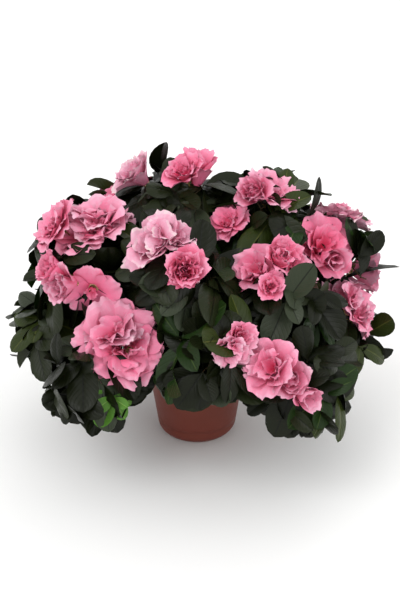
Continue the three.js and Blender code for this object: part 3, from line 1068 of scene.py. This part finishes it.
def petal(length, width, foot_lean, rim_lean, curl, wrap, ruffle):
    """The grid of points of a petal that rises along +Z and leans towards +Y, and each point's share."""
    waves = rng.uniform(1.3, 2.4)
    start = rng.uniform(0, tau, 4)
    rim = 1 - 0.32 * np.abs(across) ** 2.6 + 0.035 * np.sin(2.6 * pi * across + start[0])
    rim = rim + 0.02 * np.sin(rng.uniform(4.5, 7) * pi * across + start[3])
    share = share_of * (1 + (rim - 1) * share_of)
    lean = np.radians(foot_lean + (rim_lean - foot_lean) * ladder**0.75 + curl * ladder**4)
    step = length * (ladder[1] - ladder[0])
    out = TUBE_RADIUS + np.interp(share, ladder, np.cumsum(np.sin(lean)) * step)
    up = np.interp(share, ladder, np.cumsum(np.cos(lean)) * step)
    tilt = np.interp(share, ladder, lean)
    broad = np.clip(share / 0.66, 0, 1)
    half = width / 2 * (0.16 + 0.84 * broad * broad * (3 - 2 * broad)) * (1 - 0.24 * share**6)
    x = across * half
    hollow = 0.002 + wrap * np.maximum(out, 0.16 * length)
    side = hollow * np.sin(np.clip(x / hollow, -1.5, 1.5))
    inward = hollow * (1 - np.cos(np.clip(x / hollow, -1.5, 1.5)))
    big_wave = share**2 * (0.5 + 0.5 * np.abs(across)) * np.sin(waves * pi * across + start[1] + 2 * share)
    frill = share**4 * np.sin(rng.uniform(3.6, 5.0) * pi * across + start[2]) * (0.5 + 0.5 * np.abs(across))
    offset = inward + ruffle * width * (big_wave + 0.5 * frill)
    points = np.stack([side, out - np.cos(tilt) * offset, up + np.sin(tilt) * offset], axis=-1)
    return points.reshape(-1, 3), share.ravel()


def bloom_mesh(kind, foot, facing, size, shift):
    """The points, faces and tints of a whole bloom."""
    side = unit(np.cross(facing, np.array([0.21, 0.35, 0.9])))
    basis = np.stack([side, np.cross(facing, side), facing])
    points, faces, tints = [], [], []
    count = 0
    start = rng.uniform(0, tau)
    for ring, made_of in enumerate(BLOOM_KINDS[kind]):
        petals, long, wide, foot_lean, rim_lean, curl, wrap, ruffle, tint = made_of
        for number in range(petals):
            length = size * long * rng.uniform(0.9, 1.08)
            sway = rng.normal(0, 10)
            grid, share = petal(
                length,
                size * wide * rng.uniform(0.9, 1.12),
                foot_lean + 0.4 * sway,
                rim_lean + sway,
                curl * rng.uniform(0.3, 1.6),
                wrap,
                ruffle * rng.uniform(0.7, 1.4),
            )
            turn = start + ring * 0.9 + tau * number / petals + rng.normal(0, 0.2)
            c, s = cos(turn), sin(turn)
            across_it, out_of_it, up_it = grid.T
            spun = np.stack([across_it * c - out_of_it * s, across_it * s + out_of_it * c, up_it], axis=1)
            points.append(foot + spun @ basis)
            along = share[petal_faces].mean(axis=1)
            streak = np.tile(rng.normal(0, 0.3, PETAL_COLUMNS), PETAL_ROWS)
            own = TINT_STEP * (tint + shift + rng.normal(0, 0.3))
            value = MIDDLE_TINT + TINTS_TO_RIM * (along - 0.55) + own + streak
            value = value + PALE_RIM * (along > 1 - 1.2 / PETAL_ROWS)
            pick = np.clip(np.round(value), 1, len(PETAL_TINTS) - 1).astype(int)
            pick[along < 0.08] = FOOT_TINT
            faces.append(petal_faces + count)
            tints.append(pick)
            count += len(grid)
    return np.concatenate(points), np.concatenate(faces), np.concatenate(tints)


petal_skins = []
for number, colour in enumerate(PETAL_TINTS):
    skin = Finish(f"petal_{number}", paint(*colour), 0.6, Specular_IOR_Level=0.25)
    skin.vary_roughness(skin.noise(300, 2), 0.5, 0.75)
    skin.relief(skin.noise(700, 3) + 0.5 * skin.noise(220, 2), 0.0003)
    petal_skins.append(skin.material)

BLOOM_PIECES = {
    "blooms_full_front": (("full", "single"), blooms[:listed_count]),
    "blooms_full_back": (("full", "single"), blooms[listed_count:]),
    "blooms_half_open_front": (("rosette", "carnation"), blooms[:listed_count]),
    "blooms_half_open_back": (("rosette", "carnation"), blooms[listed_count:]),
    "blooms_loose": (("bell", "cup", "rosebud", "bud", "strap"), blooms),
}
for name, (kinds, among) in BLOOM_PIECES.items():
    parts = [bloom_mesh(*bloom) for bloom in among if bloom[0] in kinds]
    starts = np.cumsum([0] + [len(points) for points, _, _ in parts])
    mesh = bpy.data.meshes.new(name)
    everywhere = np.concatenate([points for points, _, _ in parts])
    quads = np.concatenate([faces + start for (_, faces, _), start in zip(parts, starts)])
    mesh.from_pydata(everywhere.tolist(), [], quads.tolist())
    made = piece(name, mesh, *petal_skins)
    dealt_tints = np.concatenate([tints for _, _, tints in parts])
    mesh.polygons.foreach_set("material_index", dealt_tints.astype(np.int32))
    mesh.shade_smooth()
    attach(made, "root")

# ---- The calyces ---------------------------------------------------------------------------------
# The small green cup of five blunt lobes that holds the foot of each flower, soft and finely hairy.

CALYX_SIZE = 6.5 * MM
CALYX_LOBES = 5
CALYX_RINGS = ((0.2, -0.15, 0.2), (0.36, 0.15, 0.36), (0.5, 0.6, 0.42), (0.66, 1.05, 0.5))

cup = bmesh.new()
rings = []
for radius, at_lobe, at_notch in CALYX_RINGS:
    ring = []
    for corner_number in range(4 * CALYX_LOBES):
        turn = tau * corner_number / (4 * CALYX_LOBES)
        lobe = 0.5 + 0.5 * cos(CALYX_LOBES * turn)
        height_there = at_notch + (at_lobe - at_notch) * lobe if radius > 0.4 else at_lobe
        ring.append(cup.verts.new((radius * cos(turn), radius * sin(turn), height_there)))
    rings.append(ring)
for low_ring, high_ring in zip(rings, rings[1:]):
    for number in range(4 * CALYX_LOBES):
        after = (number + 1) % (4 * CALYX_LOBES)
        cup.faces.new((low_ring[number], low_ring[after], high_ring[after], high_ring[number])).smooth = True
calyx_mesh = bpy.data.meshes.new("calyx_form")
cup.to_mesh(calyx_mesh)
cup.free()
calyx_forms = collection_of("calyx_forms", [bpy.data.objects.new("calyx_form", calyx_mesh)])

calyx_finish = Finish("calyx_green", paint(92, 110, 52), 0.6, Specular_IOR_Level=0.3)
calyx_finish.vary_colour(calyx_finish.noise(400, 2), paint(124, 96, 62))
calyx_finish.vary_roughness(calyx_finish.noise(600), 0.5, 0.7)
calyx_finish.relief(calyx_finish.noise(1500, 2), 0.0002)

calyx_feet = [foot - 0.1 * CALYX_SIZE * facing for _, foot, facing, _, _ in blooms]
turns = [Vector(facing).to_track_quat("Z", "Y").to_euler() for _, _, facing, _, _ in blooms]
sizes = np.full((len(blooms), 3), CALYX_SIZE)
calyces = piece("calyces", points_mesh("calyces", calyx_feet, turns, sizes, [0] * len(blooms)))
calyx_skin = calyx_finish.material
grown(calyces, dealt, Forms=calyx_forms, Blade=calyx_skin, Rib=calyx_skin)
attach(calyces, "root")
discard(calyx_forms)
